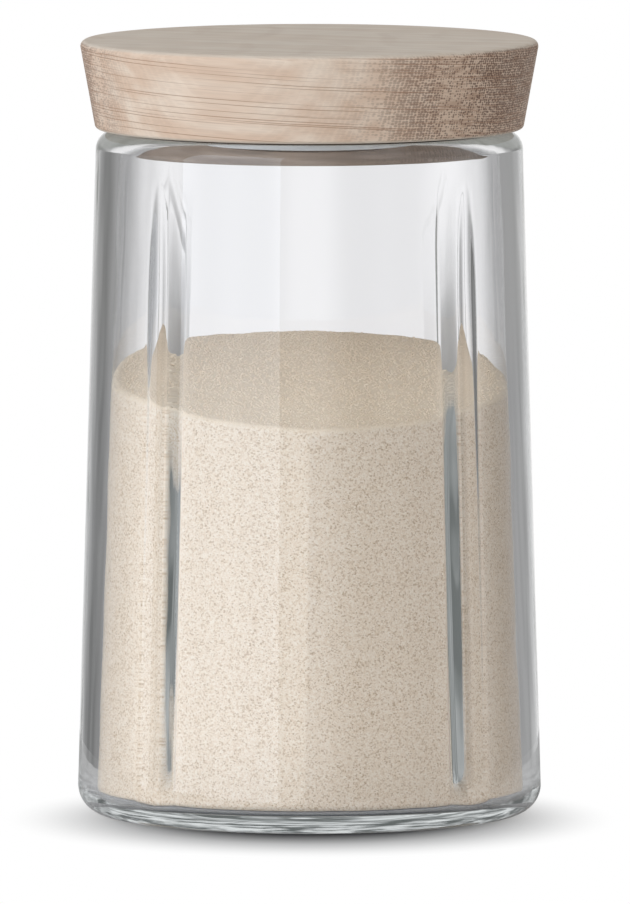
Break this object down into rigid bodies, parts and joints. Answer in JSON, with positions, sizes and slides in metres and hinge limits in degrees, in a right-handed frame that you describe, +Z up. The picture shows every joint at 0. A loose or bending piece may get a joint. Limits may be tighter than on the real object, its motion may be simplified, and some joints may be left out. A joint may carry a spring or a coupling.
{
  "type": "storage jar",
  "caption": "Round, slightly tapered clear glass storage jar with a turned oak lid and a silicone seal, filled a little over half with dry granular food.",
  "frame": {"origin": "centre of the base, on the surface that the jar stands on", "axes": "+Z up along the jar's axis; -Y is the front, midway between two of the grooves in the glass"},
  "size_m": [0.1076, 0.1076, 0.18],
  "materials": {
    "clear_glass": "gloss",
    "pale_oak": "matte",
    "clear_silicone": "satin",
    "pale_granules": "matte"
  },
  "bodies": {
    "jar": {"glass_jar": "clear_glass", "dry_contents": "pale_granules"},
    "lid": {"oak_lid": "pale_oak", "lid_seal": "clear_silicone"}
  },
  "joints": [
    {"name": "lid_lift", "type": "slide", "parent": "jar", "child": "lid", "axis": [0, 0, 1], "range_m": [0, 0.04]}
  ]
}
